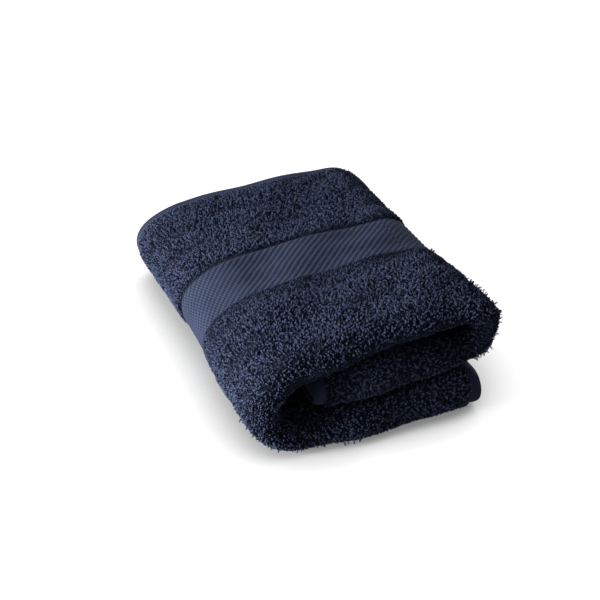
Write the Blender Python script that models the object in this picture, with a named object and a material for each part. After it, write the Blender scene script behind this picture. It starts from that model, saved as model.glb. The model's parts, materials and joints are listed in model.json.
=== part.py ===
"""A plush terry bath towel, folded for the shelf.

One woven cloth is folded in half along its length, in half again, and then in
three across its width. Run with blender --background --python part.py.

The frame: +Z up, the towel stands on z = 0, the front fold faces -Y, the long
left fold is at -X. The origin is the middle of the folded towel's underside.

The cloth is described by two sets of stations. A lengthwise station is a pair of
points (y, depth) on the two faces of the cloth, where depth is measured inwards
from the outer face of a layer of four plies. A crosswise station says where a
layer of plies is on its way round the two long folds. Each node is the piece of
cloth between some lengthwise and some crosswise stations.
"""

import math

import bmesh
import bpy

# The folded towel.
WIDTH = 0.238           # from the left fold to the right fold
LENGTH = 0.334          # from the front fold to the end hems
FRONT_HEIGHT = 0.111    # on the front fold, where the plies are loosest
BACK_HEIGHT = 0.075     # on the end hems
LAYERS = 3              # layers of plies, one on the other
PLIES = 4               # plies of cloth in a layer
FREE_EDGE_INSET = 0.022  # from the right fold to the lower flap's free side edge

# The cloth's own features.
END_HEM_WIDTH = 0.012
END_TERRY_LENGTH = 0.124  # plain terry between an end hem and its dobby band
BAND_WIDTH = 0.067
BAND_RECESS = 0.0030    # the band has no pile, so it lies below the terry
SIDE_HEM_WIDTH = 0.012
HEM_THICKNESS = 0.0040
SECOND_HEM_STEP = 0.004  # the inner end hem stops short of the outer one
THREAD_WIDTH = 0.0012
THREAD_THICKNESS = 0.0008
THREAD_INSET = 0.003    # from a hem's inner edge to its row of stitches

# Clearances.
PLY_GAP = 0.0006        # between two plies
SECTION_GAP = 0.0003    # between two pieces of the one cloth
THREAD_GAP = 0.0003     # between a hem and the thread on it
PIVOT_CLEARANCE = 0.0002  # the left fold turns about a line this far outside it

# Segments of a round fold.
ELBOW_STEPS = 6         # in a quarter turn of the left fold
RIGHT_STEPS = 10        # in the half turn of the right fold
FRONT_STEPS = 6         # in the half turn of a front or back fold
RUN_STEP = 0.045        # the longest straight segment along the towel

TERRY_BLUE = (0.020, 0.025, 0.055, 1.0)
BAND_BLUE = (0.026, 0.033, 0.070, 1.0)
THREAD_BLUE = (0.015, 0.018, 0.040, 1.0)

LAYER = FRONT_HEIGHT / LAYERS
PLY = LAYER / PLIES
LEFT_CENTRE_X = -WIDTH / 2 + LAYER * LAYERS / 2
LEFT_CENTRE_Z = LAYER * LAYERS / 2
RIGHT_CENTRE_X = WIDTH / 2 - LAYER
RIGHT_CENTRE_Z = LAYER * (LAYERS - 1)
FREE_EDGE_X = WIDTH / 2 - FREE_EDGE_INSET
NOSE_X = LEFT_CENTRE_X + SIDE_HEM_WIDTH * 2 / 3
FRONT_CENTRE_Y = -LENGTH / 2 + PLY * PLIES / 2
BACK_CENTRE_Y = LENGTH / 2 - PLY
HEM_END_Y = LENGTH / 2
HEM_Y = HEM_END_Y - END_HEM_WIDTH
BAND_BACK_Y = HEM_Y - END_TERRY_LENGTH
BAND_FRONT_Y = BAND_BACK_Y - BAND_WIDTH
HALF_GAP = PLY_GAP / 2


def clear_scene():
    for thing in list(bpy.data.objects):
        bpy.data.objects.remove(thing, do_unlink=True)


def fabric(name, colour, roughness):
    """One plain cloth material."""
    material = bpy.data.materials.new(name)
    material.use_nodes = True
    shader = material.node_tree.nodes["Principled BSDF"]
    shader.inputs["Base Color"].default_value = colour
    shader.inputs["Roughness"].default_value = roughness
    shader.inputs["Metallic"].default_value = 0.0
    material.diffuse_color = colour
    return material


# Crosswise stations: each gives the (x, z) of a point at a depth in the layer.

def lower_flap(x):
    return lambda depth: (x, depth)


def left_fold(turn):
    def place(depth):
        radius = LEFT_CENTRE_Z - depth
        return (LEFT_CENTRE_X - radius * math.sin(turn), LEFT_CENTRE_Z - radius * math.cos(turn))
    return place


def top_panel(x):
    return lambda depth: (x, LAYER * LAYERS - depth)


def right_fold(turn):
    def place(depth):
        radius = LAYER - depth
        return (RIGHT_CENTRE_X + radius * math.sin(turn), RIGHT_CENTRE_Z + radius * math.cos(turn))
    return place


def inner_flap(x):
    return lambda depth: (x, LAYER + depth)


def steps(start, end, count):
    return [start + (end - start) * i / count for i in range(count + 1)]


# The split between the elbow's two halves is as wide as SECTION_GAP on its inner side.
SPLIT_TURN = SECTION_GAP / (LEFT_CENTRE_Z - LAYER) / 2
LOWER_TERRY_X = FREE_EDGE_X - SIDE_HEM_WIDTH - SECTION_GAP

ACROSS = {
    "lower_flap": [lower_flap(x) for x in (LOWER_TERRY_X, LEFT_CENTRE_X + SECTION_GAP)],
    "left_fold_lower": [left_fold(a) for a in steps(0, math.pi / 2 - SPLIT_TURN, ELBOW_STEPS)],
    "left_fold_upper": [left_fold(a) for a in steps(math.pi / 2 + SPLIT_TURN, math.pi, ELBOW_STEPS)],
    "top_panel": [top_panel(x) for x in (LEFT_CENTRE_X + SECTION_GAP, RIGHT_CENTRE_X - SECTION_GAP)],
    "right_fold": [right_fold(a) for a in steps(0, math.pi, RIGHT_STEPS)],
    "inner_flap": [inner_flap(x) for x in (RIGHT_CENTRE_X - SECTION_GAP, NOSE_X + SECTION_GAP)],
}
ROOT_SECTIONS = ("lower_flap", "left_fold_lower")
LOWER_WAY = ACROSS["lower_flap"] + ACROSS["left_fold_lower"]
UPPER_WAY = (ACROSS["left_fold_upper"] + ACROSS["top_panel"]
             + ACROSS["right_fold"] + ACROSS["inner_flap"])


# Lengthwise stations: each is a pair of (y, depth) points on the cloth's two faces.

def ply_faces(ply):
    """The depths of a ply's two faces; ply 1 is the outer one."""
    outer = (ply - 1) * PLY + (HALF_GAP if ply > 1 else 0.0)
    return outer, ply * PLY - HALF_GAP


def run(start, end):
    """Places along a straight stretch, none further apart than RUN_STEP."""
    return steps(start, end, math.ceil(abs(end - start) / RUN_STEP))


def arc(centre_y, centre_depth, towards, radius, turn, side):
    """A point on a fold; side is +1 when it starts at the deeper ply."""
    return (centre_y + towards * radius * math.sin(turn),
            centre_depth + side * radius * math.cos(turn))


def thinned(first, second, thin):
    """A station whose two faces are both moved in by thin."""
    (y1, d1), (y2, d2) = first, second
    cut = thin / math.hypot(y2 - y1, d2 - d1)
    return ((y1 + (y2 - y1) * cut, d1 + (d2 - d1) * cut),
            (y2 - (y2 - y1) * cut, d2 - (d2 - d1) * cut))


def main_terry(thin=0.0, start_y=BAND_FRONT_Y, second_start_y=BAND_FRONT_Y):
    """The terry between the two bands: ply 1, front fold, ply 4, back fold, plies 3 and 2."""
    outer_1, inner_1 = ply_faces(1)
    outer_2, inner_2 = ply_faces(2)
    outer_3, inner_3 = ply_faces(3)
    outer_4, inner_4 = ply_faces(4)
    turns = steps(0, math.pi, FRONT_STEPS)
    way = [((y, outer_1), (y, inner_1)) for y in run(start_y, FRONT_CENTRE_Y)[:-1]]
    for turn in turns:
        outer_radius = 2 * PLY - HALF_GAP * (1 - math.cos(turn)) / 2
        way.append((arc(FRONT_CENTRE_Y, 2 * PLY, -1, outer_radius, turn, -1),
                    arc(FRONT_CENTRE_Y, 2 * PLY, -1, PLY + HALF_GAP, turn, -1)))
    way += [((y, inner_4), (y, outer_4)) for y in run(FRONT_CENTRE_Y, BACK_CENTRE_Y)[1:-1]]
    for turn in turns:
        way.append((arc(BACK_CENTRE_Y, 3 * PLY, 1, PLY - HALF_GAP, turn, 1),
                    arc(BACK_CENTRE_Y, 3 * PLY, 1, HALF_GAP, turn, 1)))
    way += [((y, outer_3), (y, inner_3)) for y in run(BACK_CENTRE_Y, FRONT_CENTRE_Y)[1:-1]]
    for turn in turns:
        way.append((arc(FRONT_CENTRE_Y, 2 * PLY, -1, HALF_GAP, turn, 1),
                    arc(FRONT_CENTRE_Y, 2 * PLY, -1, PLY - HALF_GAP, turn, 1)))
    way += [((y, inner_2), (y, outer_2)) for y in run(FRONT_CENTRE_Y, second_start_y)[1:]]
    return [thinned(first, second, thin) for first, second in way]


def flat_run(ply, y_start, y_end, sunk=0.0, thickness=None):
    """A straight piece of one ply; sunk is how far its outer face lies below the terry's."""
    outer, inner = ply_faces(ply)
    if thickness is not None:
        middle = (outer + inner) / 2
        outer, inner = middle - thickness / 2, middle + thickness / 2
    return [((y, outer + sunk), (y, inner)) for y in run(y_start, y_end)]


def end_pieces(ply, hem_end_y):
    """The band, the end terry and the end hem of the ply that holds them."""
    shift = hem_end_y - HEM_END_Y
    hem_y = HEM_Y + shift
    return {
        "dobby_band": flat_run(ply, BAND_BACK_Y - SECTION_GAP, BAND_FRONT_Y + SECTION_GAP, BAND_RECESS),
        "end_terry": flat_run(ply, BAND_BACK_Y, hem_y),
        "end_hem": flat_run(ply, hem_y + SECTION_GAP, hem_end_y, thickness=HEM_THICKNESS),
    }


ALONG = {"main_terry": main_terry()}
for end_name, end_ply, end_y in (("a", 1, HEM_END_Y), ("b", 2, HEM_END_Y - SECOND_HEM_STEP)):
    for piece_name, way in end_pieces(end_ply, end_y).items():
        ALONG[f"{piece_name}_{end_name}"] = way

SIDE_HEM_THIN = (PLY - PLY_GAP - HEM_THICKNESS) / 2
SIDE_HEM_WAY = main_terry(SIDE_HEM_THIN, HEM_END_Y, HEM_END_Y - SECOND_HEM_STEP)


def taper(y):
    """How thick the pile of plies is at y, against the front."""
    return 1 + (BACK_HEIGHT / FRONT_HEIGHT - 1) * (y - FRONT_CENTRE_Y) / (HEM_END_Y - FRONT_CENTRE_Y)


def make_pivot():
    """The line that the upper layers turn about, midway up the left fold all along it."""
    front_z, back_z = (LEFT_CENTRE_Z * taper(y) for y in (-LENGTH / 2, LENGTH / 2))
    pivot = bpy.data.objects.new("left_fold_pivot", None)
    pivot.location = (-WIDTH / 2 - PIVOT_CLEARANCE, 0.0, (front_z + back_z) / 2)
    pivot.rotation_euler = (-math.atan2(front_z - back_z, LENGTH), 0.0, 0.0)
    bpy.context.scene.collection.objects.link(pivot)
    bpy.context.view_layer.update()
    return pivot


def cloth_piece(name, across, along, material, pivot=None):
    """A closed solid over every pair of crosswise and lengthwise stations."""
    shape = bmesh.new()
    grid = []
    for place in across:
        column = []
        for faces in along:
            corner = []
            for y, depth in faces:
                x, z = place(depth)
                corner.append(shape.verts.new((x, y, z * taper(y))))
            column.append(corner)
        grid.append(column)
    last_across, last_along = len(across) - 1, len(along) - 1
    for i in range(last_across):
        for j in range(last_along):
            for side in (0, 1):
                shape.faces.new((grid[i][j][side], grid[i + 1][j][side],
                                 grid[i + 1][j + 1][side], grid[i][j + 1][side]))
        for j in (0, last_along):
            shape.faces.new((grid[i][j][0], grid[i + 1][j][0], grid[i + 1][j][1], grid[i][j][1]))
    for i in (0, last_across):
        for j in range(last_along):
            shape.faces.new((grid[i][j][0], grid[i][j][1], grid[i][j + 1][1], grid[i][j + 1][0]))
    bmesh.ops.recalc_face_normals(shape, faces=shape.faces)
    if shape.calc_volume(signed=True) < 0:
        bmesh.ops.reverse_faces(shape, faces=shape.faces)
    mesh = bpy.data.meshes.new(name)
    shape.to_mesh(mesh)
    shape.free()
    mesh.materials.append(material)
    mesh.shade_smooth()
    mesh.set_sharp_from_angle(angle=math.radians(35))
    piece = bpy.data.objects.new(name, mesh)
    if pivot:
        piece.parent = pivot
        piece.matrix_parent_inverse = pivot.matrix_world.inverted()
    bpy.context.scene.collection.objects.link(piece)


def thread_on(outer_face, y):
    """A row of stitches across the towel, on the hem's outer face."""
    near = outer_face - THREAD_GAP
    return [((edge, near - THREAD_THICKNESS), (edge, near))
            for edge in (y - THREAD_WIDTH / 2, y + THREAD_WIDTH / 2)]


def build_sections(pivot):
    """Every piece of the cloth between two folds, two bands or two hems."""
    for section, across in ACROSS.items():
        turns = None if section in ROOT_SECTIONS else pivot
        for part, along in ALONG.items():
            name = f"{section}_{part}"
            is_band = part.startswith("dobby_band")
            colour = BAND_BLUE if is_band else TERRY_BLUE
            cloth_piece(name, across, along, fabric(name, colour, 0.75 if is_band else 0.95), turns)


def build_side_hems(pivot):
    """The two long edges, each folded with the plies from one end hem to the other."""
    lower = [lower_flap(x) for x in (FREE_EDGE_X, FREE_EDGE_X - SIDE_HEM_WIDTH)]
    inner = [inner_flap(x) for x in (NOSE_X, NOSE_X - SIDE_HEM_WIDTH)]
    for name, across, turns in (("lower_flap_side_hem", lower, None),
                                ("inner_flap_side_hem", inner, pivot)):
        cloth_piece(name, across, SIDE_HEM_WAY, fabric(name, BAND_BLUE, 0.8), turns)


def build_threads(pivot):
    """The sewing thread that holds each end hem, on the hem's outer face."""
    for end_name, ply, shift in (("a", 1, 0.0), ("b", 2, SECOND_HEM_STEP)):
        middle = sum(ply_faces(ply)) / 2
        way = thread_on(middle - HEM_THICKNESS / 2, HEM_Y + THREAD_INSET - shift)
        for side, across, turns in (("lower", LOWER_WAY, None), ("upper", UPPER_WAY, pivot)):
            name = f"end_hem_{end_name}_thread_{side}"
            cloth_piece(name, across, way, fabric(name, THREAD_BLUE, 0.6), turns)


clear_scene()
left_fold_pivot = make_pivot()
build_sections(left_fold_pivot)
build_side_hems(left_fold_pivot)
build_threads(left_fold_pivot)
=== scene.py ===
"""A folded terry bath towel: its looks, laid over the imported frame.

The cloth is followed from its ground weave outwards: the two lengths of ground
cloth, the loop pile, the flat band, the hems and their stitches.
"""

import json
import math

import bpy
import numpy as np
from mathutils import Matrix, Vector


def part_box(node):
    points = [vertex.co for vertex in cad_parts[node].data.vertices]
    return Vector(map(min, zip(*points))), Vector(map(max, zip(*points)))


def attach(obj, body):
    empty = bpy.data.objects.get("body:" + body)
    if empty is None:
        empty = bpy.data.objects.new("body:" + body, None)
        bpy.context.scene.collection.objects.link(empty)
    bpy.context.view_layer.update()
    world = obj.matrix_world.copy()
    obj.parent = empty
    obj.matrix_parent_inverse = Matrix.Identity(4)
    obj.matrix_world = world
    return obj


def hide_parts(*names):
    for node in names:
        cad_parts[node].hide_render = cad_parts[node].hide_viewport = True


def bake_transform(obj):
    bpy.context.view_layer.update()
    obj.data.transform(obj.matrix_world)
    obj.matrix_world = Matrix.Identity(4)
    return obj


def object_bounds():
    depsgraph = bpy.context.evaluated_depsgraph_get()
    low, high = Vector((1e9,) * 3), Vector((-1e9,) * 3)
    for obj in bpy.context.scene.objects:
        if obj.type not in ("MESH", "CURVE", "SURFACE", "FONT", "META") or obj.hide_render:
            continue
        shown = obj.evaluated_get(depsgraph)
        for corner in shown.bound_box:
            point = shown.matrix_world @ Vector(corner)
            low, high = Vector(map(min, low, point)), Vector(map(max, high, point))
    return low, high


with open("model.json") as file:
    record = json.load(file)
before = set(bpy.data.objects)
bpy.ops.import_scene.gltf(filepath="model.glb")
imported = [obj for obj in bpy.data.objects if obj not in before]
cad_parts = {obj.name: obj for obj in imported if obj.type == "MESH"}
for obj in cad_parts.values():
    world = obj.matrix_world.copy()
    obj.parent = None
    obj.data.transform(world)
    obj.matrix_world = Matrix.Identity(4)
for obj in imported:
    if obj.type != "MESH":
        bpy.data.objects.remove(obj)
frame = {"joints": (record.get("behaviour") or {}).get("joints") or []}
cad_low, cad_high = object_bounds()

# ---- The woven ground cloth ------------------------------------------------
# One cotton cloth, 0.70 m wide and 1.30 m long, folded in half, in half again and
# then in three. Its ground is a thin plain weave; the pile stands on both its faces.
# It is made in two lengths that meet under the right fold.

LEFT_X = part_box("top_panel_main_terry")[0].x      # where the left fold begins
RIGHT_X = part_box("top_panel_main_terry")[1].x     # where the right fold begins
FREE_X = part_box("lower_flap_side_hem")[1].x       # the lower flap's free edge
BAND_Y = [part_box("top_panel_dobby_band_a")[i].y for i in (0, 1)]
HEM_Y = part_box("top_panel_end_hem_a")[0].y
END_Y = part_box("top_panel_end_hem_a")[1].y
NOSE_X = LEFT_X + 0.007          # the inner flap's free edge, inside the left fold
FRONT_REACH = 0.0185             # depth of the front fold, with its pile
PILE_HEIGHT = 0.0045
GROUND_HALF = 0.0008             # half the ground cloth's thickness
SECOND_HEM_STEP = 0.004          # the inner end hem stops short of the outer one
FRONT_CENTRE = cad_low.y + FRONT_REACH
BACK_CENTRE = END_Y - 0.009
turning = frame["joints"][0]                       # the left fold, the one place that opens
FOLD_MIDDLE = Vector(turning["pos_m"])
FALL = abs(turning["axis"][2] / turning["axis"][1])  # how the fold's middle falls towards the back


def smooth(t):
    t = np.clip(t, 0.0, 1.0)
    return t * t * (3 - 2 * t)


def mix(a, b, t):
    return a + (b - a) * t


def swell(x, y):
    """The soft rise and fall of a laid towel, in metres."""
    return (0.0013 * np.sin(x * 46 + 1.3 * np.sin(y * 19) + 0.6)
            + 0.0014 * np.sin(y * 52 + 0.9 * np.sin(x * 24 + 1.1))
            + 0.0008 * np.sin(x * 83 - y * 61 + 2.0)
            + 0.0006 * np.sin(y * 205 + 2.6 * np.sin(x * 19 + 0.5)) * np.sin(x * 37 + y * 23))


def heights(x, y):
    """Heights of the layers: lower flap's top, inner flap's top, top panel's underside, its top."""
    full = np.minimum(2 * (FOLD_MIDDLE.z - FALL * y), cad_high.z) - 0.001
    front = smooth((0.05 - y) / (0.05 - cad_low.y))
    sag = -0.045 - 0.045 * smooth((-x - 0.01) / 0.06) + 0.12 * smooth(x / 0.085)
    lower = full * (1 / 3 + front * sag)
    arch = 0.86 - 0.30 * np.clip((0.08 - x) / 0.165, 0, 1.2) ** 2.2
    upper = full * mix(2 / 3, arch, front)
    hollow = (0.025 * smooth((x - 0.005) / 0.075) + 0.006 * smooth((-x - 0.01) / 0.06)) * front ** 2
    return lower, upper - hollow, upper, full + swell(x, y)


def fold(centre_x, reach, reach_in, levels, turn, depth, side):
    """A point in a long fold: side is -1 on the left fold and +1 on the right one."""
    low_out, low_in, high_in, high_out = levels
    centre = (low_in + high_in) / 2
    down, up = centre - low_out, high_out - centre
    share = (1 - np.cos(turn)) / 2
    out = mix(down, up, share) if side < 0 else mix(up, down, share)
    rise = mix(out, (high_in - low_in) / 2, depth)
    across = mix(reach, reach_in, depth)
    return (centre_x + side * across * np.sin(turn),
            centre + side * rise * np.cos(turn))


def pinch(y):
    """How tightly the left fold is pressed, 1 at its middle, where its plies close on the inner flap."""
    return smooth(1.3 - np.abs(y - 0.03) / 0.075)


CORNER_PULL = 0.0045             # how far the back left corner is drawn in
FRONT_DRAW = 0.009               # and the front left one
FLAP_DRAW = -0.0023              # and the lower flap's front, on the right
DROOP = 0.007                    # how far the right fold hangs down past the lower flap
RIGHT_RISE = 0.0026              # how much higher the top lies on the right
LEFT_SINK = 0.008                # and how much lower on the left
SKEW = 0.001                     # how far the right side is slid back
STATIONS_Y = (-0.16, -0.07, 0.03, 0.14)
LEFT_OUT = (0.0009, 0.0027, 0.0015, 0.0018)      # how far each side stands out at these stations
RIGHT_OUT = (-0.0009, -0.0011, 0.0045, 0.008)


def settled(x, y, z):
    """The slight lopsidedness of a towel folded by hand."""
    high = smooth((z - 0.045) / 0.05)
    moved_x = (x - smooth((-x - 0.01) / 0.09) * np.interp(y, STATIONS_Y, LEFT_OUT)
               + smooth(x / 0.10) * np.interp(y, STATIONS_Y, RIGHT_OUT))
    moved_y = (y - CORNER_PULL * smooth((-x - 0.04) / 0.075) * smooth((y - 0.08) / 0.10)
               + FRONT_DRAW * smooth((-y - 0.09) / 0.09) * smooth((0.03 - x) / 0.12)
               + FLAP_DRAW * smooth((-y - 0.10) / 0.07) * smooth(x / 0.08) * smooth((0.06 - z) / 0.03)
               + SKEW * x / cad_high.x)
    moved_z = (z + (RIGHT_RISE * smooth(x / 0.1) - LEFT_SINK * smooth((-x - 0.01) / 0.1)) * high
               - DROOP * smooth((x - 0.086) / 0.022) * smooth((0.08 - z) / 0.03) * smooth(-y / 0.10))
    return np.stack([moved_x, moved_y, moved_z], axis=-1)


SKIN = 0.003                     # room left for the pile outside a long fold
LEFT_HOLLOW = 0.024              # how deep the left fold is open inside
PRESSED_SHUT = 0.012             # how much less deep in its middle
NOSE_TUCK = 0.020                # how much further in the inner flap's edge reaches there
NOSE_ROUND = 0.020               # width over which that edge is rounded off


def place(way, y, depth):
    """The point of the folded cloth at a crosswise way of 0 to 5, a lengthwise y and a depth of 0 to 1."""
    way, y, depth = np.broadcast_arrays(way, y, depth)
    section = np.minimum(way.astype(int), 4)
    part = way - section
    x = np.zeros(way.shape)
    z = np.zeros(way.shape)
    here = section == 0
    x[here] = mix(FREE_X, LEFT_X, part[here])
    end = 1 - 0.14 * (1 - smooth((FREE_X - x[here]) / 0.009)) ** 2
    z[here] = heights(x[here], y[here])[0] * (0.5 + (depth[here] - 0.5) * end)
    here = section == 1
    lower, inner, upper, top = heights(LEFT_X, y[here])
    hollow = LEFT_HOLLOW - PRESSED_SHUT * pinch(y[here])
    x[here], z[here] = fold(LEFT_X, LEFT_X - cad_low.x - SKIN, hollow, (0, lower, upper, top),
                            math.pi * part[here], depth[here], -1)
    here = section == 2
    x[here] = mix(LEFT_X, RIGHT_X, part[here])
    lower, inner, upper, top = heights(x[here], y[here])
    z[here] = mix(top, upper, depth[here])
    here = section == 3
    lower, inner, upper, top = heights(RIGHT_X, y[here])
    x[here], z[here] = fold(RIGHT_X, cad_high.x - RIGHT_X - SKIN, 0.003 + (upper - inner) * 0.3,
                            (lower, inner, upper, top), math.pi * part[here], depth[here], 1)
    here = section == 4
    nose = NOSE_X - NOSE_TUCK * pinch(y[here])
    x[here] = mix(RIGHT_X, nose, part[here])
    lower, inner, upper, top = heights(x[here], y[here])
    sharpness = 0.93 - 0.55 * pinch(y[here])
    near_nose = np.clip((nose + NOSE_ROUND - x[here]) / NOSE_ROUND, 0, 1)
    rounding = np.sqrt(1 - sharpness * near_nose ** 2)
    z[here] = mix(lower, inner, 0.5 + (depth[here] - 0.5) * rounding)
    tucked = smooth(way - 3) * smooth((0.0 - y) / 0.10)
    ragged = (0.0022 * np.sin(way * 5.1 + 0.7) + 0.0014 * np.sin(way * 12.7 + 2.1)) * smooth(-y / 0.15)
    return settled(x, y + 0.008 * tucked + ragged, z)


def lengthwise(step):
    """The stretches of cloth from the outer end hem to the inner one, as (y, depth) rows."""
    def straight(start, end, depth):
        count = max(2, int(abs(end - start) / step) + 1)
        return np.linspace(start, end, count), np.full(count, depth)

    def turned(centre_y, centre_depth, reach, rise, towards, side):
        turn = np.linspace(0, math.pi, max(7, int(3 * reach / step) + 5))
        return centre_y + towards * reach * np.sin(turn), centre_depth + side * rise * np.cos(turn)

    last = END_Y - SECOND_HEM_STEP
    return {
        "hem_a": straight(END_Y, HEM_Y, 1 / 8),
        "terry_a": straight(HEM_Y, BAND_Y[1], 1 / 8),
        "band_a": straight(BAND_Y[1], BAND_Y[0], 1 / 8),
        "ply_1": straight(BAND_Y[0], FRONT_CENTRE, 1 / 8),
        "front_fold": turned(FRONT_CENTRE, 1 / 2, FRONT_REACH - PILE_HEIGHT, 3 / 8, -1, -1),
        "ply_4": straight(FRONT_CENTRE, BACK_CENTRE, 7 / 8),
        "back_fold": turned(BACK_CENTRE, 3 / 4, 0.0045, 1 / 8, 1, 1),
        "ply_3": straight(BACK_CENTRE, FRONT_CENTRE, 5 / 8),
        "inner_fold": turned(FRONT_CENTRE, 1 / 2, 0.005, 1 / 8, -1, 1),
        "ply_2": straight(FRONT_CENTRE, BAND_Y[0], 3 / 8),
        "band_b": straight(BAND_Y[0], BAND_Y[1], 3 / 8),
        "terry_b": straight(BAND_Y[1], last - (END_Y - HEM_Y), 3 / 8),
        "hem_b": straight(last - (END_Y - HEM_Y), last, 3 / 8),
    }


def rows(names, step=0.006):
    """The named stretches joined end to end."""
    stretches = lengthwise(step)
    y = np.concatenate([stretches[n][0][(i > 0):] for i, n in enumerate(names)])
    depth = np.concatenate([stretches[n][1][(i > 0):] for i, n in enumerate(names)])
    return y, depth


WHOLE = list(lengthwise(0.01))
ACROSS_LENGTHS = (0.150, 0.150, 0.136, 0.085, 0.155)  # of each crosswise section, midway out


def columns(start, end, step=0.006):
    """Crosswise ways from start to end, about step apart on the cloth."""
    ways = [start]
    for section in range(int(start), math.ceil(end)):
        first, last = max(start, section), min(end, section + 1)
        count = max(1, round((last - first) * ACROSS_LENGTHS[section] / step))
        ways += list(np.linspace(first, last, count + 1)[1:])
    return np.array(ways)


def sheet_grid(ways, y, depth):
    """Points and outer-face normals of the ground cloth over a grid of ways and rows."""
    points = place(ways[:, None], y[None, :], depth[None, :])
    nudge = 1e-4
    ahead = place(np.minimum(ways + nudge, 5 - 1e-9)[:, None], y[None, :], depth[None, :])
    behind = place(np.maximum(ways - nudge, 0)[:, None], y[None, :], depth[None, :])
    along = np.gradient(points, axis=1)
    normals = np.cross(along, ahead - behind)
    normals /= np.maximum(np.linalg.norm(normals, axis=-1, keepdims=True), 1e-12)
    return points, normals


def grid_quads(index):
    """The four-sided faces between the points of a grid."""
    corners = index[:-1, :-1], index[:-1, 1:], index[1:, 1:], index[1:, :-1]
    return np.stack(corners, axis=-1).reshape(-1, 4)


def closed_cloth(name, outer, inner):
    """A closed solid between two grids of points, its faces pointing out."""
    across, along = outer.shape[:2]
    count = across * along
    points = np.concatenate([outer.reshape(-1, 3), inner.reshape(-1, 3)])
    index = np.arange(count).reshape(across, along)
    quads = grid_quads(index)
    rim = np.concatenate([index[:, 0], index[-1, 1:], index[-2::-1, -1], index[0, -2:0:-1]])
    after = np.roll(rim, -1)
    walls = np.stack([rim, after, after + count, rim + count], axis=-1)
    faces = np.concatenate([quads, quads[:, ::-1] + count, walls])
    mesh = bpy.data.meshes.new(name)
    mesh.from_pydata(points.tolist(), [], faces.tolist())
    mesh.shade_smooth()
    cloth = bpy.data.objects.new(name, mesh)
    bpy.context.scene.collection.objects.link(cloth)
    return cloth


def add_input(tree, name, kind, value=None):
    socket = tree.interface.new_socket(name, in_out="INPUT", socket_type=kind)
    if value is not None:
        socket.default_value = value
    return socket


def cotton_tree():
    """Cotton tone: random patches and fibres of dye, plus any further tone it is given, which on the loops
    and the band carries painted shade; and the relief of its fibres.
    """
    tree = bpy.data.node_groups.new("cotton", "ShaderNodeTree")
    add_input(tree, "Fibre Scale", "NodeSocketFloat", 2000.0)
    add_input(tree, "Fibre Share", "NodeSocketFloat", 1.0)
    add_input(tree, "Tone And Shade", "NodeSocketFloat", 0.0)
    add_input(tree, "Tone And Shade Share", "NodeSocketFloat", 0.0)
    add_input(tree, "Base", "NodeSocketFloat", 0.0)
    add_input(tree, "Relief", "NodeSocketFloat", 0.4)
    tree.interface.new_socket("Tone", in_out="OUTPUT", socket_type="NodeSocketFloat")
    tree.interface.new_socket("Normal", in_out="OUTPUT", socket_type="NodeSocketVector")
    nodes, links = tree.nodes, tree.links
    given = nodes.new("NodeGroupInput").outputs
    result = nodes.new("NodeGroupOutput").inputs
    coordinates = nodes.new("ShaderNodeTexCoord")
    patches = nodes.new("ShaderNodeTexNoise")
    patches.inputs["Scale"].default_value = 38
    patches.inputs["Detail"].default_value = 3
    fibres = nodes.new("ShaderNodeTexNoise")
    fibres.inputs["Detail"].default_value = 2
    links.new(given["Fibre Scale"], fibres.inputs["Scale"])
    total = given["Base"]
    for value, share in ((patches.outputs["Fac"], 0.45), (fibres.outputs["Fac"], given["Fibre Share"]),
                         (given["Tone And Shade"], given["Tone And Shade Share"])):
        part = nodes.new("ShaderNodeMath")
        part.operation = "MULTIPLY_ADD"
        links.new(value, part.inputs[0])
        if isinstance(share, float):
            part.inputs[1].default_value = share
        else:
            links.new(share, part.inputs[1])
        links.new(total, part.inputs[2])
        total = part.outputs[0]
    links.new(total, result["Tone"])
    relief = nodes.new("ShaderNodeBump")
    relief.inputs["Distance"].default_value = 0.0006
    links.new(given["Relief"], relief.inputs["Strength"])
    links.new(fibres.outputs["Fac"], relief.inputs["Height"])
    links.new(relief.outputs["Normal"], result["Normal"])
    for texture in (patches, fibres):
        links.new(coordinates.outputs["Object"], texture.inputs["Vector"])
    return tree


cotton_tone_and_shade = cotton_tree()


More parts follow.
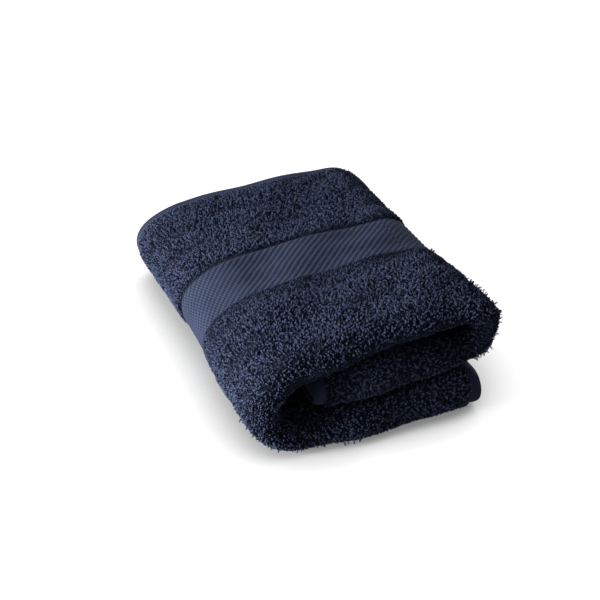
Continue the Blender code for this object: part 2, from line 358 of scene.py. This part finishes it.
def navy_cloth(name, dark, light, roughness, sheen, fibre_scale, relief, tone_and_shade_marks=(), share=0.0, base=0.0):
    """A cotton finish: two navy tones, mixed by the cotton's random dye pattern and by any further tone
    given, which on the loops and the band carries painted shade; and a soft sheen.
    """
    material = bpy.data.materials.new(name)
    material.use_nodes = True
    nodes, links = material.node_tree.nodes, material.node_tree.links
    shader = nodes["Principled BSDF"]
    shader.inputs["Roughness"].default_value = roughness
    shader.inputs["Sheen Weight"].default_value = sheen
    shader.inputs["Sheen Roughness"].default_value = 0.5
    shader.inputs["Sheen Tint"].default_value = (0.35, 0.45, 0.80, 1)
    shader.inputs["Specular IOR Level"].default_value = 0.10
    cotton = nodes.new("ShaderNodeGroup")
    cotton.node_tree = cotton_tone_and_shade
    cotton.inputs["Fibre Scale"].default_value = fibre_scale
    cotton.inputs["Fibre Share"].default_value = 0.0 if tone_and_shade_marks else 1.0
    cotton.inputs["Tone And Shade Share"].default_value = share
    cotton.inputs["Base"].default_value = base
    cotton.inputs["Relief"].default_value = relief
    # The given attributes are multiplied together; on the loops and the band they hold painted shade.
    told = None
    for mark in tone_and_shade_marks:
        found = nodes.new("ShaderNodeAttribute")
        found.attribute_name = mark
        if told is None:
            told = found.outputs["Fac"]
        else:
            both = nodes.new("ShaderNodeMath")
            both.operation = "MULTIPLY"
            links.new(told, both.inputs[0])
            links.new(found.outputs["Fac"], both.inputs[1])
            told = both.outputs[0]
    if tone_and_shade_marks:
        links.new(told, cotton.inputs["Tone And Shade"])
    tones = nodes.new("ShaderNodeMix")
    tones.data_type = "RGBA"
    tones.inputs[6].default_value = (*dark, 1)
    tones.inputs[7].default_value = (*light, 1)
    links.new(cotton.outputs["Tone"], tones.inputs[0])
    links.new(tones.outputs[2], shader.inputs["Base Color"])
    links.new(cotton.outputs["Normal"], shader.inputs["Normal"])
    return material


def follow_left_fold(piece):
    """Fixes a piece's placement into its mesh; it is not bent across the left fold."""
    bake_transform(piece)


def carry(piece, body):
    """Lets a piece go with one body; one meant for both is only fixed in place, not bent."""
    if body == "both":
        follow_left_fold(piece)
    else:
        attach(piece, body)


WRAP = ("lower_flap", "left_fold_lower", "left_fold_upper", "top_panel")
TUCK = ("right_fold", "inner_flap")


def stands_for(piece, sections, *parts):
    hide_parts(*[f"{section}_{part}" for section in sections for part in parts])


ground_cloth = navy_cloth("ground weave", (0.006, 0.008, 0.017), (0.014, 0.018, 0.036),
                          0.95, 0.05, 1400, 0.5)
grounds = {}
for name, start, end, sections in (("ground_cloth_wrap", 0, 3, WRAP), ("ground_cloth_tuck", 3, 5, TUCK)):
    points, normals = sheet_grid(columns(start, end), *rows(WHOLE))
    cloth = closed_cloth(name, points + normals * GROUND_HALF, points - normals * GROUND_HALF)
    cloth.data.materials.append(ground_cloth)
    stands_for(cloth, sections, "main_terry", "end_terry_a", "end_terry_b", "dobby_band_b")
    grounds[name] = cloth
follow_left_fold(grounds["ground_cloth_wrap"])
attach(grounds["ground_cloth_tuck"], "upper_layers")


# ---- The loop pile -----------------------------------------------------------
# Long uncut loops of soft cotton yarn stand thick on the ground cloth, held only by
# the weave. They lean every way, lie flatter where the cloth turns or is pressed.

YARN = 0.00088


def loop_pile_tree():
    """Scatters arched loops over a surface and turns each its own way."""
    tree = bpy.data.node_groups.new("loop pile", "GeometryNodeTree")
    add_input(tree, "Surface", "NodeSocketGeometry")
    add_input(tree, "Spacing", "NodeSocketFloat", 0.0014)
    add_input(tree, "Density", "NodeSocketFloat", 280000.0)
    add_input(tree, "Loop Height", "NodeSocketFloat", PILE_HEIGHT)
    add_input(tree, "Loop Width", "NodeSocketFloat", 0.0022)
    add_input(tree, "Yarn", "NodeSocketFloat", YARN)
    add_input(tree, "Lean", "NodeSocketFloat", 0.75)
    add_input(tree, "Seed", "NodeSocketInt", 1)
    add_input(tree, "Finish", "NodeSocketMaterial")
    tree.interface.new_socket("Pile", in_out="OUTPUT", socket_type="NodeSocketGeometry")
    nodes, links = tree.nodes, tree.links

    def node(kind, **settings):
        made = nodes.new(kind)
        for setting, value in settings.items():
            setattr(made, setting, value)
        return made

    def math_node(operation, first, second):
        made = node("ShaderNodeMath", operation=operation)
        for socket, value in zip(made.inputs, (first, second)):
            if isinstance(value, (int, float)):
                socket.default_value = value
            else:
                links.new(value, socket)
        return made.outputs[0]

    given = node("NodeGroupInput").outputs
    scatter = node("GeometryNodeDistributePointsOnFaces", distribute_method="POISSON")
    links.new(given["Surface"], scatter.inputs["Mesh"])
    links.new(given["Spacing"], scatter.inputs["Distance Min"])
    links.new(given["Density"], scatter.inputs["Density Max"])
    links.new(given["Seed"], scatter.inputs["Seed"])

    height, width = given["Loop Height"], given["Loop Width"]
    half = math_node("MULTIPLY", width, 0.5)
    corners = []
    arch_corners = ((-1, 0.0, -0.15), (-1.6, 0.5, 1.25), (1.9, -0.2, 1.35), (1.2, 0.3, -0.1))
    for sideways, forward, up in arch_corners:
        corner = node("ShaderNodeCombineXYZ")
        links.new(math_node("MULTIPLY", half, sideways), corner.inputs["X"])
        links.new(math_node("MULTIPLY", height, forward), corner.inputs["Y"])
        links.new(math_node("MULTIPLY", height, up), corner.inputs["Z"])
        corners.append(corner.outputs[0])
    arch = node("GeometryNodeCurvePrimitiveBezierSegment", mode="POSITION")
    arch.inputs["Resolution"].default_value = 3
    for socket, corner in zip(("Start", "Start Handle", "End Handle", "End"), corners):
        links.new(corner, arch.inputs[socket])
    round_yarn = node("GeometryNodeCurvePrimitiveCircle")
    round_yarn.inputs["Resolution"].default_value = 3
    links.new(math_node("MULTIPLY", given["Yarn"], 0.5), round_yarn.inputs["Radius"])
    yarn = node("GeometryNodeCurveToMesh")
    yarn.inputs["Fill Caps"].default_value = True
    links.new(arch.outputs[0], yarn.inputs["Curve"])
    links.new(round_yarn.outputs["Curve"], yarn.inputs["Profile Curve"])
    place_now = node("GeometryNodeInputPosition")
    apart = node("ShaderNodeSeparateXYZ")
    links.new(place_now.outputs[0], apart.inputs[0])
    # rise: how high up its loop each point stands; the loop yarn's colour is multiplied by it, painted
    # shade that darkens every loop towards its root.
    rise = node("GeometryNodeStoreNamedAttribute", data_type="FLOAT", domain="POINT")
    rise.inputs["Name"].default_value = "rise"
    links.new(yarn.outputs[0], rise.inputs["Geometry"])
    links.new(math_node("DIVIDE", apart.outputs["Z"], height), rise.inputs["Value"])

    spin = node("FunctionNodeRandomValue", data_type="FLOAT_VECTOR")
    spin.inputs[0].default_value = (0, 0, -math.pi)
    spin.inputs[1].default_value = (0, 0, math.pi)
    lean = node("FunctionNodeRandomValue", data_type="FLOAT_VECTOR")
    lean.inputs[0].default_value = (-1, -0.5, 0)
    lean.inputs[1].default_value = (1, 0.5, 0)
    leaning = node("ShaderNodeVectorMath", operation="SCALE")
    links.new(lean.outputs[0], leaning.inputs[0])
    links.new(given["Lean"], leaning.inputs["Scale"])
    rotation = scatter.outputs["Rotation"]
    for turned, seed in ((spin.outputs[0], spin), (leaning.outputs[0], lean)):
        links.new(given["Seed"], seed.inputs["Seed"])
        angle = node("FunctionNodeEulerToRotation")
        links.new(turned, angle.inputs[0])
        rotate = node("FunctionNodeRotateRotation", rotation_space="LOCAL")
        links.new(rotation, rotate.inputs["Rotation"])
        links.new(angle.outputs[0], rotate.inputs["Rotate By"])
        rotation = rotate.outputs[0]
    pressed = node("GeometryNodeInputNamedAttribute", data_type="FLOAT")
    pressed.inputs["Name"].default_value = "pile"
    own_size = node("FunctionNodeRandomValue", data_type="FLOAT")
    own_size.inputs[2].default_value = 0.75
    own_size.inputs[3].default_value = 1.25
    links.new(given["Seed"], own_size.inputs["Seed"])
    size = math_node("MULTIPLY", own_size.outputs[1], pressed.outputs["Attribute"])
    # shade: a random tone of navy for each loop, its own colour.
    shade = node("FunctionNodeRandomValue", data_type="FLOAT")
    links.new(given["Seed"], shade.inputs["Seed"])
    tinted = node("GeometryNodeStoreNamedAttribute", data_type="FLOAT", domain="POINT")
    tinted.inputs["Name"].default_value = "shade"
    links.new(scatter.outputs["Points"], tinted.inputs["Geometry"])
    links.new(shade.outputs[1], tinted.inputs["Value"])
    planted = node("GeometryNodeInstanceOnPoints")
    links.new(tinted.outputs[0], planted.inputs["Points"])
    links.new(rise.outputs[0], planted.inputs["Instance"])
    links.new(rotation, planted.inputs["Rotation"])
    links.new(size, planted.inputs["Scale"])
    real = node("GeometryNodeRealizeInstances")
    links.new(planted.outputs[0], real.inputs[0])
    soft = node("GeometryNodeSetShadeSmooth")
    links.new(real.outputs[0], soft.inputs["Geometry"])
    finish = node("GeometryNodeSetMaterial")
    links.new(soft.outputs[0], finish.inputs["Geometry"])
    links.new(given["Finish"], finish.inputs["Material"])
    links.new(finish.outputs[0], node("NodeGroupOutput").inputs[0])
    return tree


def grown(name, guide, tree, **inputs):
    """Runs a node tree over a guide and returns its result as a plain mesh."""
    modifier = guide.modifiers.new("grow", "NODES")
    modifier.node_group = tree
    sockets = {item.name: item.identifier
               for item in tree.interface.items_tree if item.in_out == "INPUT"}
    for word, value in inputs.items():
        modifier[sockets[word.replace("_", " ").title()]] = value
    bpy.context.view_layer.update()
    mesh = bpy.data.meshes.new_from_object(guide.evaluated_get(bpy.context.evaluated_depsgraph_get()))
    mesh.name = name
    bpy.data.objects.remove(guide)
    piece = bpy.data.objects.new(name, mesh)
    bpy.context.scene.collection.objects.link(piece)
    return piece


def pile_stand(points, normals):
    """How high the pile stands: lower beside the band, in the creases and along the top layer's lip."""
    x, y, z = np.moveaxis(points, -1, 0)
    stand = 1 - 0.40 * smooth((y - BAND_Y[0] + 0.030) / 0.030) * (y < BAND_Y[0] + 0.001)
    crease = np.sin(y * 160 + 1.9 * np.sin(x * 26 + 1.0) + 0.8) * np.sin(x * 31 + y * 17)
    stand = stand * (1 - 0.30 * smooth(crease * 1.6 - 0.5))
    lip = smooth((-normals[..., 1] - 0.25) / 0.4) * smooth((0.35 - normals[..., 2]) / 0.5) * (z > 0.066)
    stand = stand * (1 - 0.50 * smooth(1 - (y - BAND_Y[1]) / 0.004) * (y > BAND_Y[1] - 0.001))
    room = 0.9 * z / (1.25 * PILE_HEIGHT * np.maximum(-normals[..., 2], 0.05))   # above the floor
    return np.minimum(stand * (1 - 0.55 * lip), np.maximum(room, 0.1))


def guide_surface(name, ways, y, depth, face=1):
    """One face of the ground cloth, with how high the pile stands at each point."""
    points, normals = sheet_grid(ways, y, depth)
    points = points + face * normals * GROUND_HALF
    across, along = points.shape[:2]
    index = np.arange(across * along).reshape(across, along)
    quads = grid_quads(index)
    mesh = bpy.data.meshes.new(name)
    mesh.from_pydata(points.reshape(-1, 3).tolist(), [], quads[:, ::face].tolist())
    tall = mesh.attributes.new("pile", "FLOAT", "POINT")
    tall.data.foreach_set("value", pile_stand(points, normals).astype(np.float32).ravel())
    guide = bpy.data.objects.new(name, mesh)
    bpy.context.scene.collection.objects.link(guide)
    return guide


# The loop yarn's tone is each loop's random tone (the shade attribute) times its rise: painted shade
# darkens every loop towards its root and leaves the tips lighter.
loop_yarn = navy_cloth("loop yarn", (0.002, 0.003, 0.008), (0.056, 0.072, 0.134),
                       0.9, 0.15, 2600, 0.35, ("shade", "rise"), 1.80, -0.68)
pile_tree = loop_pile_tree()
HEM_WAY = 0.012 / ACROSS_LENGTHS[0]                  # a side hem's width as a share of its section
THICK, THIN = 1500000.0, 200000.0                    # most loops to a square metre
FINE = dict(loop_height=0.0034, loop_width=0.0013, spacing=0.00103, yarn=YARN * 0.95, density=THICK)
OPENED = dict(loop_height=0.0034, loop_width=0.0011, spacing=0.00125, yarn=YARN * 0.9, density=THICK)
COARSE = dict(loop_height=0.0045, loop_width=0.0028, spacing=0.0021, yarn=YARN * 1.8, density=THIN)
BACK_ROWS, MAIN_ROWS = ["terry_a"], ["ply_1"]
PILE = (
    # name, first way, last way, stretches, body, kind of loop, seed
    ("pile_top_back", 2, 3, BACK_ROWS, "upper_layers", FINE, 1),
    ("pile_top_main", 2, 3, MAIN_ROWS, "upper_layers", FINE, 2),
    ("pile_left_back", 1, 2, BACK_ROWS, "both", FINE, 3),
    ("pile_left_main", 1, 2, MAIN_ROWS, "both", FINE, 4),
    ("pile_right_back", 3, 4, BACK_ROWS, "upper_layers", FINE, 5),
    ("pile_right_main", 3, 4, MAIN_ROWS, "upper_layers", FINE, 6),
    ("pile_front_wrap", HEM_WAY, 3, ["front_fold"], "both", FINE, 7),
    ("pile_front_tuck", 3, 5 - HEM_WAY, ["front_fold"], "upper_layers", FINE, 8),
    ("pile_flap_outer_back", 4, 5 - HEM_WAY, BACK_ROWS, "upper_layers", COARSE, 9),
    ("pile_flap_outer_main", 4, 5 - HEM_WAY, MAIN_ROWS, "upper_layers", COARSE, 10),
    ("pile_underside_back", HEM_WAY, 1, BACK_ROWS, "lower_layer", COARSE, 11),
    ("pile_underside_main", HEM_WAY, 1, MAIN_ROWS, "lower_layer", COARSE, 12),
    ("pile_lower_inner", HEM_WAY, 1, ["ply_4"], "lower_layer", COARSE, 13),
    ("pile_left_inner", 1, 2, ["ply_4"], "both", OPENED, 14),
    ("pile_back_wrap", HEM_WAY, 3, ["back_fold"], "both", FINE, 15),
    ("pile_back_tuck", 3, 5 - HEM_WAY, ["back_fold"], "upper_layers", FINE, 16),
)
for name, start, end, stretches, body, kind, seed in PILE:
    guide = guide_surface(name, columns(start, end, 0.004), *rows(stretches, 0.004))
    loops = grown(name, guide, pile_tree, lean=0.55, seed=seed, finish=loop_yarn, **kind)
    carry(loops, body)


# Where the folds are brushed most, some loops have been pulled long.
STRAYS = (
    ("stray_loops_right", 3.2, 3.9, 0.045, 90000.0, "upper_layers", 21),
    ("stray_loops_corner", 0.7, 1.65, 0.030, 35000.0, "both", 22),
)
for name, start, end, reach, density, body, seed in STRAYS:
    y, depth = rows(["ply_1", "front_fold"], 0.004)
    near_front = y < FRONT_CENTRE + reach
    guide = guide_surface(name, columns(start, end, 0.004), y[near_front], depth[near_front])
    strays = grown(name, guide, pile_tree, density=density, loop_height=0.0068, loop_width=0.0011,
                   spacing=0.0026, yarn=0.0008, lean=0.95, seed=seed, finish=loop_yarn)
    carry(strays, body)


# ---- The woven band --------------------------------------------------------
# A flat band without loops is woven across the cloth near its end: raised diagonal
# ribs of tight weft on a plain ground, so it lies below the pile on either side.

RIB_PITCH = 0.0052
RIB_HEIGHT = 0.0011
KNOB_PITCH = 0.0026              # of the weft floats across each rib
GROOVE_DEPTH = 0.0018            # of the sunk line
GROOVE = 0.0030                  # width of the sunk line beside the pile at the band's far edge, painted dark as the pile's shadow
band_weave = navy_cloth("band weave", (0.003, 0.004, 0.010), (0.036, 0.047, 0.088), 0.8, 0.12, 3000, 0.5,
                        ("rib", "knob"), 1.35, -0.34)
BAND_PARTS = (("dobby_band_wrap", 0, 3, WRAP), ("dobby_band_tuck", 3, 5, TUCK))
for name, start, end, sections in BAND_PARTS:
    ways = columns(start, end, 0.00105)
    y, depth = rows(["band_a"], 0.00105)
    points, normals = sheet_grid(ways, y, depth)
    strides = np.linalg.norm(np.diff(points[:, 0], axis=0), axis=-1)
    across = np.concatenate([[0], np.cumsum(strides)])[:, None]
    along = (y.max() - y)[None, :]
    ribs = np.abs(np.sin(math.pi * (across + along) / math.sqrt(2) / RIB_PITCH)) ** 0.8
    knobs = 0.62 + 0.38 * np.cos(2 * math.pi * (across - 0.4 * along) / KNOB_PITCH)
    sunk = smooth((along - 0.5 * GROOVE) / (0.5 * GROOVE))
    relief = (RIB_HEIGHT * ribs * (0.8 + 0.2 * knobs) + GROOVE_DEPTH) * sunk - GROOVE_DEPTH
    band = closed_cloth(name, points + normals * (GROUND_HALF + relief)[..., None],
                        points - normals * GROUND_HALF * 1.5)
    # Painted shade: the band's tone follows its relief, lighter on the raised ribs and knobs and darker
    # between them. The sunk line is painted near black as the shadow under the pile's edge.
    rib_and_groove_shade = (0.15 + 0.85 * ribs) * sunk
    for word, values in (("rib", rib_and_groove_shade), ("knob", np.broadcast_to(knobs, ribs.shape))):
        tone_and_shade_marks = band.data.attributes.new(word, "FLOAT", "POINT")
        tone_and_shade_marks.data.foreach_set("value", np.tile(values.ravel(), 2).astype(np.float32))
    band.data.materials.append(band_weave)
    stands_for(band, sections, "dobby_band_a")
    carry(band, "both" if start == 0 else "upper_layers")


# ---- The hems ----------------------------------------------------------------
# Each raw edge is turned under twice and lies flat and smooth, without loops: one
# across either end of the cloth, and one down either side.

HEM_HALF = 0.0020
hem_cloth = navy_cloth("hem cloth", (0.006, 0.008, 0.018), (0.021, 0.027, 0.052), 0.88, 0.10, 2200, 0.5)
HEM_ROUND = np.array([           # how full a hem is, from its free edge inwards
    (0.00, 0.30), (0.03, 0.62), (0.10, 0.86), (0.25, 1.0),
    (0.55, 1.0), (0.85, 0.92), (0.97, 0.80), (1.0, 0.4)])


def hem_piece(name, points, normals, swelling, slot, sections, *parts):
    push = normals * (HEM_HALF * swelling)[..., None]
    hem = closed_cloth(name, points + push, points - push)
    hem.data.materials.append(hem_cloth)
    stands_for(hem, sections, *parts)
    return hem


for side, depth in (("a", 1 / 8), ("b", 3 / 8)):
    stretch = lengthwise(0.01)["hem_" + side][0]
    edge, inward = (stretch[0], stretch[-1]) if side == "a" else (stretch[-1], stretch[0])
    y = edge + (inward - edge) * HEM_ROUND[:, 0]
    swelling = HEM_ROUND[:, 1]
    if side == "b":
        y, swelling = y[::-1], swelling[::-1]
    for name, start, end, sections in (("wrap", 0, 3, WRAP), ("tuck", 3, 5, TUCK)):
        points, normals = sheet_grid(columns(start, end, 0.004), y, np.full(len(y), depth))
        hem = hem_piece(f"end_hem_{side}_{name}", points, normals,
                        np.broadcast_to(swelling, points.shape[:2]), "hem", sections, f"end_hem_{side}")
        carry(hem, "both" if start == 0 else "upper_layers")

for name, edge, inward, body, section in (
        ("side_hem_lower_flap", 0, HEM_WAY, "lower_layer", "lower_flap"),
        ("side_hem_inner_flap", 5, 5 - HEM_WAY, "upper_layers", "inner_flap")):
    ways = edge + (inward - edge) * HEM_ROUND[:, 0]
    swelling = HEM_ROUND[:, 1]
    if edge:
        ways, swelling = ways[::-1], swelling[::-1]
    points, normals = sheet_grid(ways, *rows(WHOLE, 0.004))
    hem = hem_piece(name, points, normals, np.broadcast_to(swelling[:, None], points.shape[:2]), "hem",
                    (section,), "side_hem")
    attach(hem, body)


# ---- The hem stitches --------------------------------------------------------
# A row of lockstitches in matching thread runs along each end hem, just inside its
# turned edge.

STITCH = 0.0026
STITCH_THREAD = 0.0005
thread_finish = navy_cloth("hem thread", (0.040, 0.048, 0.080), (0.070, 0.082, 0.125),
                           0.6, 0.1, 4000, 0.3)


def stitch_tree():
    """Lays short stitches end to end along a line of edges."""
    tree = bpy.data.node_groups.new("lockstitch", "GeometryNodeTree")
    add_input(tree, "Line", "NodeSocketGeometry")
    add_input(tree, "Stitch", "NodeSocketFloat", STITCH)
    add_input(tree, "Thread", "NodeSocketFloat", STITCH_THREAD)
    add_input(tree, "Finish", "NodeSocketMaterial")
    tree.interface.new_socket("Stitches", in_out="OUTPUT", socket_type="NodeSocketGeometry")
    nodes, links = tree.nodes, tree.links
    given = nodes.new("NodeGroupInput").outputs
    line = nodes.new("GeometryNodeMeshToCurve")
    links.new(given["Line"], line.inputs["Mesh"])
    evenly = nodes.new("GeometryNodeCurveToPoints")
    evenly.mode = "LENGTH"
    links.new(line.outputs[0], evenly.inputs["Curve"])
    links.new(given["Stitch"], evenly.inputs["Length"])
    bead = nodes.new("GeometryNodeMeshIcoSphere")
    bead.inputs["Subdivisions"].default_value = 1
    links.new(given["Thread"], bead.inputs["Radius"])
    long = nodes.new("ShaderNodeMath")
    long.operation = "DIVIDE"
    links.new(given["Stitch"], long.inputs[0])
    links.new(given["Thread"], long.inputs[1])
    longer = nodes.new("ShaderNodeMath")
    longer.operation = "MULTIPLY"
    longer.inputs[1].default_value = 0.46
    links.new(long.outputs[0], longer.inputs[0])
    scale = nodes.new("ShaderNodeCombineXYZ")
    scale.inputs["X"].default_value = 1
    scale.inputs["Y"].default_value = 1
    links.new(longer.outputs[0], scale.inputs["Z"])
    planted = nodes.new("GeometryNodeInstanceOnPoints")
    links.new(evenly.outputs["Points"], planted.inputs["Points"])
    links.new(bead.outputs["Mesh"], planted.inputs["Instance"])
    links.new(evenly.outputs["Rotation"], planted.inputs["Rotation"])
    links.new(scale.outputs[0], planted.inputs["Scale"])
    real = nodes.new("GeometryNodeRealizeInstances")
    links.new(planted.outputs[0], real.inputs[0])
    finish = nodes.new("GeometryNodeSetMaterial")
    links.new(real.outputs[0], finish.inputs["Geometry"])
    links.new(given["Finish"], finish.inputs["Material"])
    links.new(finish.outputs[0], nodes.new("NodeGroupOutput").inputs[0])
    return tree


lockstitch = stitch_tree()
for side, depth in (("a", 1 / 8), ("b", 3 / 8)):
    stretch = lengthwise(0.01)["hem_" + side][0]
    for name, start, end, replaced in (("wrap", 0, 3, "lower"), ("tuck", 3, 5, "upper")):
        inside = min(stretch) + 0.0025
        points, normals = sheet_grid(columns(start, end, 0.003), np.array([inside + 1e-4, inside]),
                                     np.full(2, depth))
        lines = points[:, 1] + normals[:, 1] * (HEM_HALF + 0.0001)
        mesh = bpy.data.meshes.new("stitch line")
        mesh.from_pydata(lines.tolist(), [(i, i + 1) for i in range(len(lines) - 1)], [])
        guide = bpy.data.objects.new("stitch line", mesh)
        bpy.context.scene.collection.objects.link(guide)
        stitches = grown(f"end_hem_{side}_stitches_{name}", guide, lockstitch, finish=thread_finish)
        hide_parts(f"end_hem_{side}_thread_{replaced}")
        carry(stitches, "both" if start == 0 else "upper_layers")


# ---- The cloth as a whole ----------------------------------------------------
# Both lengths are the same towel, cut 0.70 m wide and 1.30 m long and folded up. The pieces of each length
# are gathered in a list.

WRAP_PIECES = [name for name, start, *_ in PILE if start < 3]
TUCK_PIECES = [name for name, start, *_ in PILE if start >= 3]
for made, word in ((WRAP_PIECES, "wrap"), (TUCK_PIECES, "tuck")):
    made += [f"dobby_band_{word}"]
    made += [f"end_hem_{side}_{word}" for side in "ab"]
    made += [f"end_hem_{side}_stitches_{word}" for side in "ab"]
WRAP_PIECES += ["side_hem_lower_flap", "stray_loops_corner"]
TUCK_PIECES += ["side_hem_inner_flap", "stray_loops_right"]


# ---- The floor, the light and the camera ---------------------------------------
# A plain pale floor, a low soft light from the left, and two faint ones: above and
# behind, and low on the right. For the camera the floor glows white where it lies
# open and less near the towel, a painted contact shadow.

floor_mesh = bpy.data.meshes.new("floor")
floor_mesh.from_pydata([(-6, -6, 0), (6, -6, 0), (6, 6, 0), (-6, 6, 0)], [], [(0, 1, 2, 3)])
floor = bpy.data.objects.new("floor", floor_mesh)
bpy.context.scene.collection.objects.link(floor)
pale = bpy.data.materials.new("pale floor")
pale.use_nodes = True
pale_shader = pale.node_tree.nodes["Principled BSDF"]
pale_shader.inputs["Roughness"].default_value = 0.9
pale_shader.inputs["Specular IOR Level"].default_value = 0
pale_shader.inputs["Emission Color"].default_value = (1, 1, 1, 1)
seen = pale.node_tree.nodes.new("ShaderNodeLightPath")
# Painted shadow: the floor's glow for the camera dims where ambient occlusion finds the towel near.
ao_contact_shadow = pale.node_tree.nodes.new("ShaderNodeAmbientOcclusion")
ao_contact_shadow.inputs["Distance"].default_value = 0.09
open_floor = pale.node_tree.nodes.new("ShaderNodeMapRange")
open_floor.interpolation_type = "SMOOTHSTEP"
open_floor.inputs["From Min"].default_value = 0.25
open_floor.inputs["From Max"].default_value = 0.95
open_floor.inputs["To Min"].default_value = 0.20
open_floor.inputs["To Max"].default_value = 0.95
pale.node_tree.links.new(ao_contact_shadow.outputs["AO"], open_floor.inputs["Value"])
glow = pale.node_tree.nodes.new("ShaderNodeMath")
glow.operation = "MULTIPLY"
pale.node_tree.links.new(open_floor.outputs["Result"], glow.inputs[1])
pale.node_tree.links.new(seen.outputs["Is Camera Ray"], glow.inputs[0])
pale.node_tree.links.new(glow.outputs[0], pale_shader.inputs["Emission Strength"])
tone = pale.node_tree.nodes.new("ShaderNodeMapRange")
tone.inputs["To Min"].default_value = 0.50
tone.inputs["To Max"].default_value = 0.30
pale.node_tree.links.new(seen.outputs["Is Camera Ray"], tone.inputs["Value"])
pale.node_tree.links.new(tone.outputs["Result"], pale_shader.inputs["Base Color"])
floor_mesh.materials.append(pale)

world = bpy.data.worlds.new("studio")
world.use_nodes = True
world.node_tree.nodes["Background"].inputs["Color"].default_value = (1, 1, 1, 1)
outlook = world.node_tree.nodes.new("ShaderNodeLightPath")
bright = world.node_tree.nodes.new("ShaderNodeMapRange")
bright.inputs["To Min"].default_value = 0.25
bright.inputs["To Max"].default_value = 1.0
world.node_tree.links.new(outlook.outputs["Is Camera Ray"], bright.inputs["Value"])
sky = world.node_tree.nodes["Background"].inputs
world.node_tree.links.new(bright.outputs["Result"], sky["Strength"])
bpy.context.scene.world = world
bpy.context.scene.view_settings.view_transform = "Standard"


def soft_light(name, place, size, power, target=(0, 0, 0.04)):
    lamp = bpy.data.lights.new(name, "AREA")
    lamp.shape = "DISK"
    lamp.size = size
    lamp.energy = power
    light = bpy.data.objects.new(name, lamp)
    light.location = place
    light.rotation_euler = (Vector(target) - Vector(place)).to_track_quat("-Z", "Y").to_euler()
    bpy.context.scene.collection.objects.link(light)


soft_light("key", (-2.0, 0.0, 0.44), 1.0, 130)
soft_light("top", (-0.5, 0.9, 1.9), 1.6, 5)
soft_light("rim", (1.7, 1.0, 0.40), 1.2, 14)

yaw, pitch, distance = math.radians(22.86), math.radians(35.1), 1.38
forward = Vector((math.sin(yaw) * math.cos(pitch), math.cos(yaw) * math.cos(pitch), -math.sin(pitch)))
lens = bpy.data.cameras.new("camera")
lens.lens = 84.46
camera = bpy.data.objects.new("camera", lens)
camera.location = Vector((0.0154, 0.0548, 0)) - forward * distance
camera.rotation_euler = forward.to_track_quat("-Z", "Y").to_euler()
bpy.context.scene.collection.objects.link(camera)
bpy.context.scene.camera = camera
